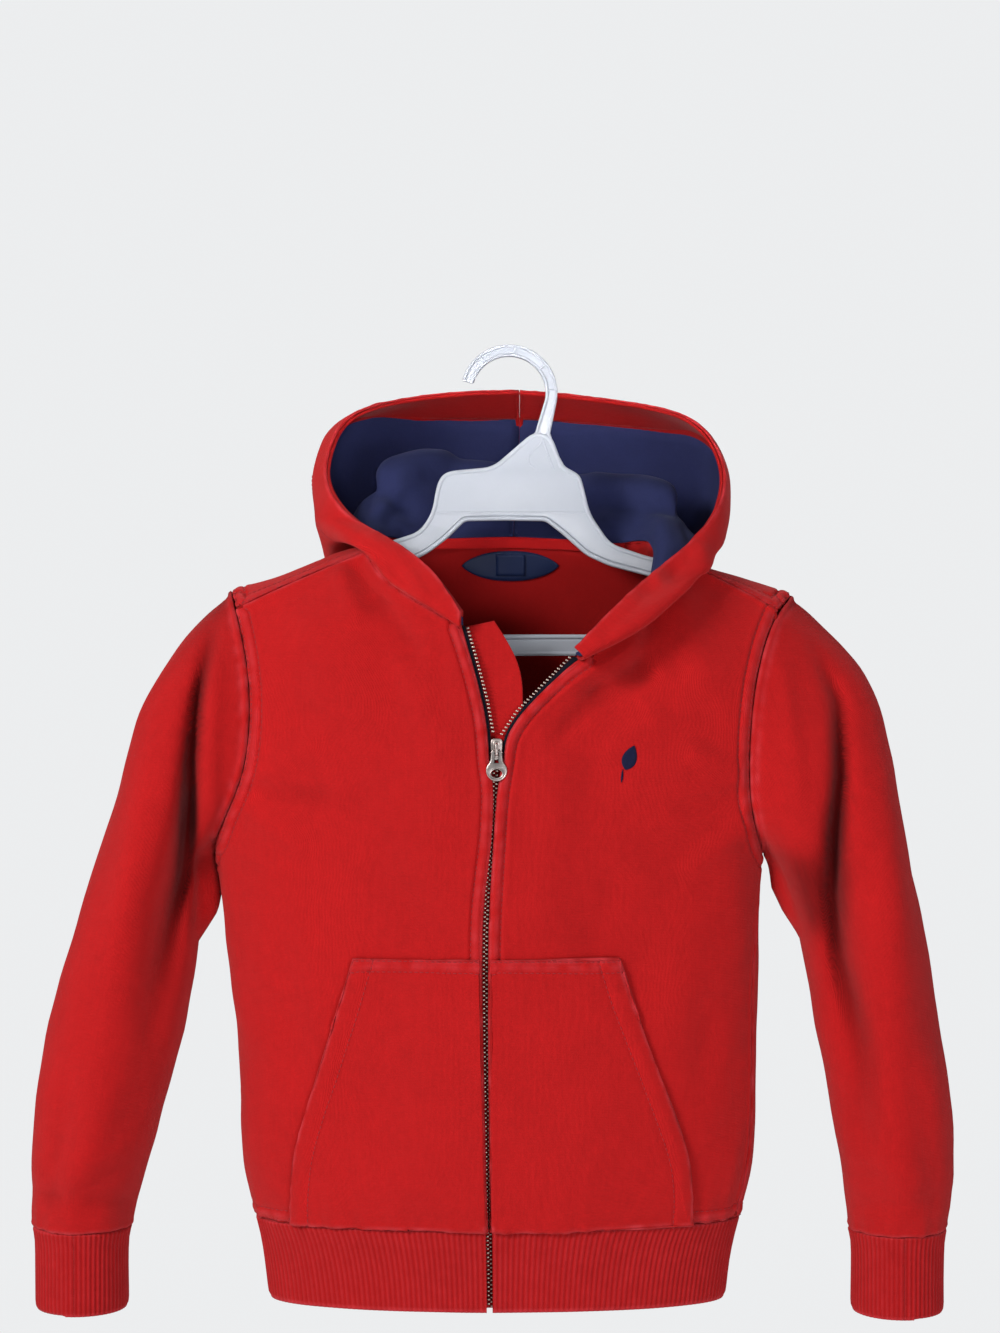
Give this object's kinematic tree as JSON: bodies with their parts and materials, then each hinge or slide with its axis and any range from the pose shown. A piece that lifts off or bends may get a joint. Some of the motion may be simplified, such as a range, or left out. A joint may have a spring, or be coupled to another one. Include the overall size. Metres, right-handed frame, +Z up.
{
  "type": "kids hoodie on a hanger",
  "caption": "Child's red zip-front hooded sweatshirt on a white plastic hanger, with navy hood lining, long sleeves, split front pocket and ribbed hem.",
  "frame": {"origin": "top of the inside of the hanger's hook, where a rail holds it", "axes": "+Z up, -Y out of the garment's front, +X to the right as seen from the front. Names with left lie on -X, the viewer's left and the wearer's right."},
  "size_m": [0.5586, 0.1994, 0.5816],
  "materials": {
    "red_fleece": "brushed",
    "red_rib": "ribbed",
    "navy_jersey": "matt",
    "navy_tape": "matt",
    "zip_metal": "polished",
    "slider_metal": "antiqued",
    "white_plastic": "gloss"
  },
  "bodies": {
    "garment": {"sleeve_left": "red_fleece", "sleeve_right": "red_fleece", "cuff_left": "red_rib", "cuff_right": "red_rib", "front_left": "red_fleece", "front_right": "red_fleece", "back": "red_fleece", "hood_outer_left": "red_fleece", "hood_outer_right": "red_fleece", "hood_lining_left": "navy_jersey", "hood_lining_right": "navy_jersey", "hood_facing_left": "red_fleece", "hood_facing_right": "red_fleece", "waistband": "red_rib", "pocket_left": "red_fleece", "pocket_right": "red_fleece", "zip_tape_left": "navy_tape", "zip_tape_right": "navy_tape", "zip_teeth_left": "zip_metal", "zip_teeth_right": "zip_metal", "zip_chain": "zip_metal", "zip_flap": "red_fleece", "neck_tape": "red_fleece", "neck_label": "navy_jersey", "hanger": "white_plastic", "zip_slider": "slider_metal"},
    "zip_pull": {"zip_pull": "slider_metal"}
  },
  "joints": [
    {"name": "pull_swing", "type": "hinge", "parent": "garment", "child": "zip_pull", "pos_m": [-0.0104, -0.0535, -0.23575], "axis": [-1, 0, 0], "range_deg": [0, 150]}
  ]
}
